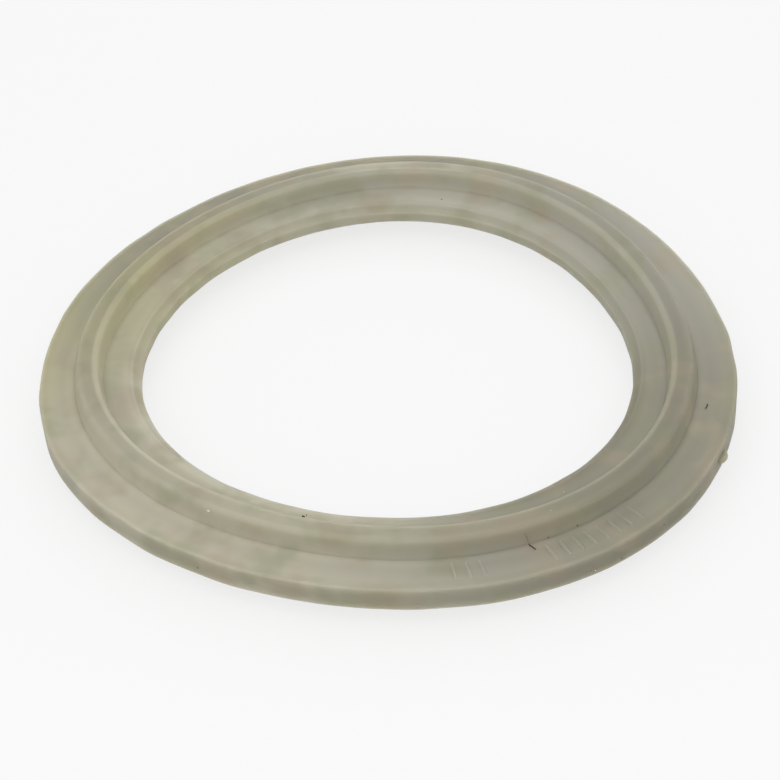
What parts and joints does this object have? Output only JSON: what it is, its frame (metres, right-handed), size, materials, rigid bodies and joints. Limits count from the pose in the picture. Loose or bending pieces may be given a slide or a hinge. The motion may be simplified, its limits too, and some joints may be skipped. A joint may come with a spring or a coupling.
{
  "type": "clamp gasket",
  "caption": "Round translucent silicone gasket with a raised sealing bead on each face, for a hygienic pipe clamp joint.",
  "frame": {"origin": "centre of the bore, on the ring's axis at mid-thickness", "axes": "+Z along the ring's axis, out of the face that carries the moulded bars; +X and +Y in the ring's middle plane, with the bars towards -Y"},
  "size_m": [0.0506, 0.0506, 0.0048],
  "materials": {
    "silicone": "satin moulded silicone, milky translucent khaki"
  },
  "bodies": {
    "root": {"gasket": "silicone"}
  },
  "joints": []
}
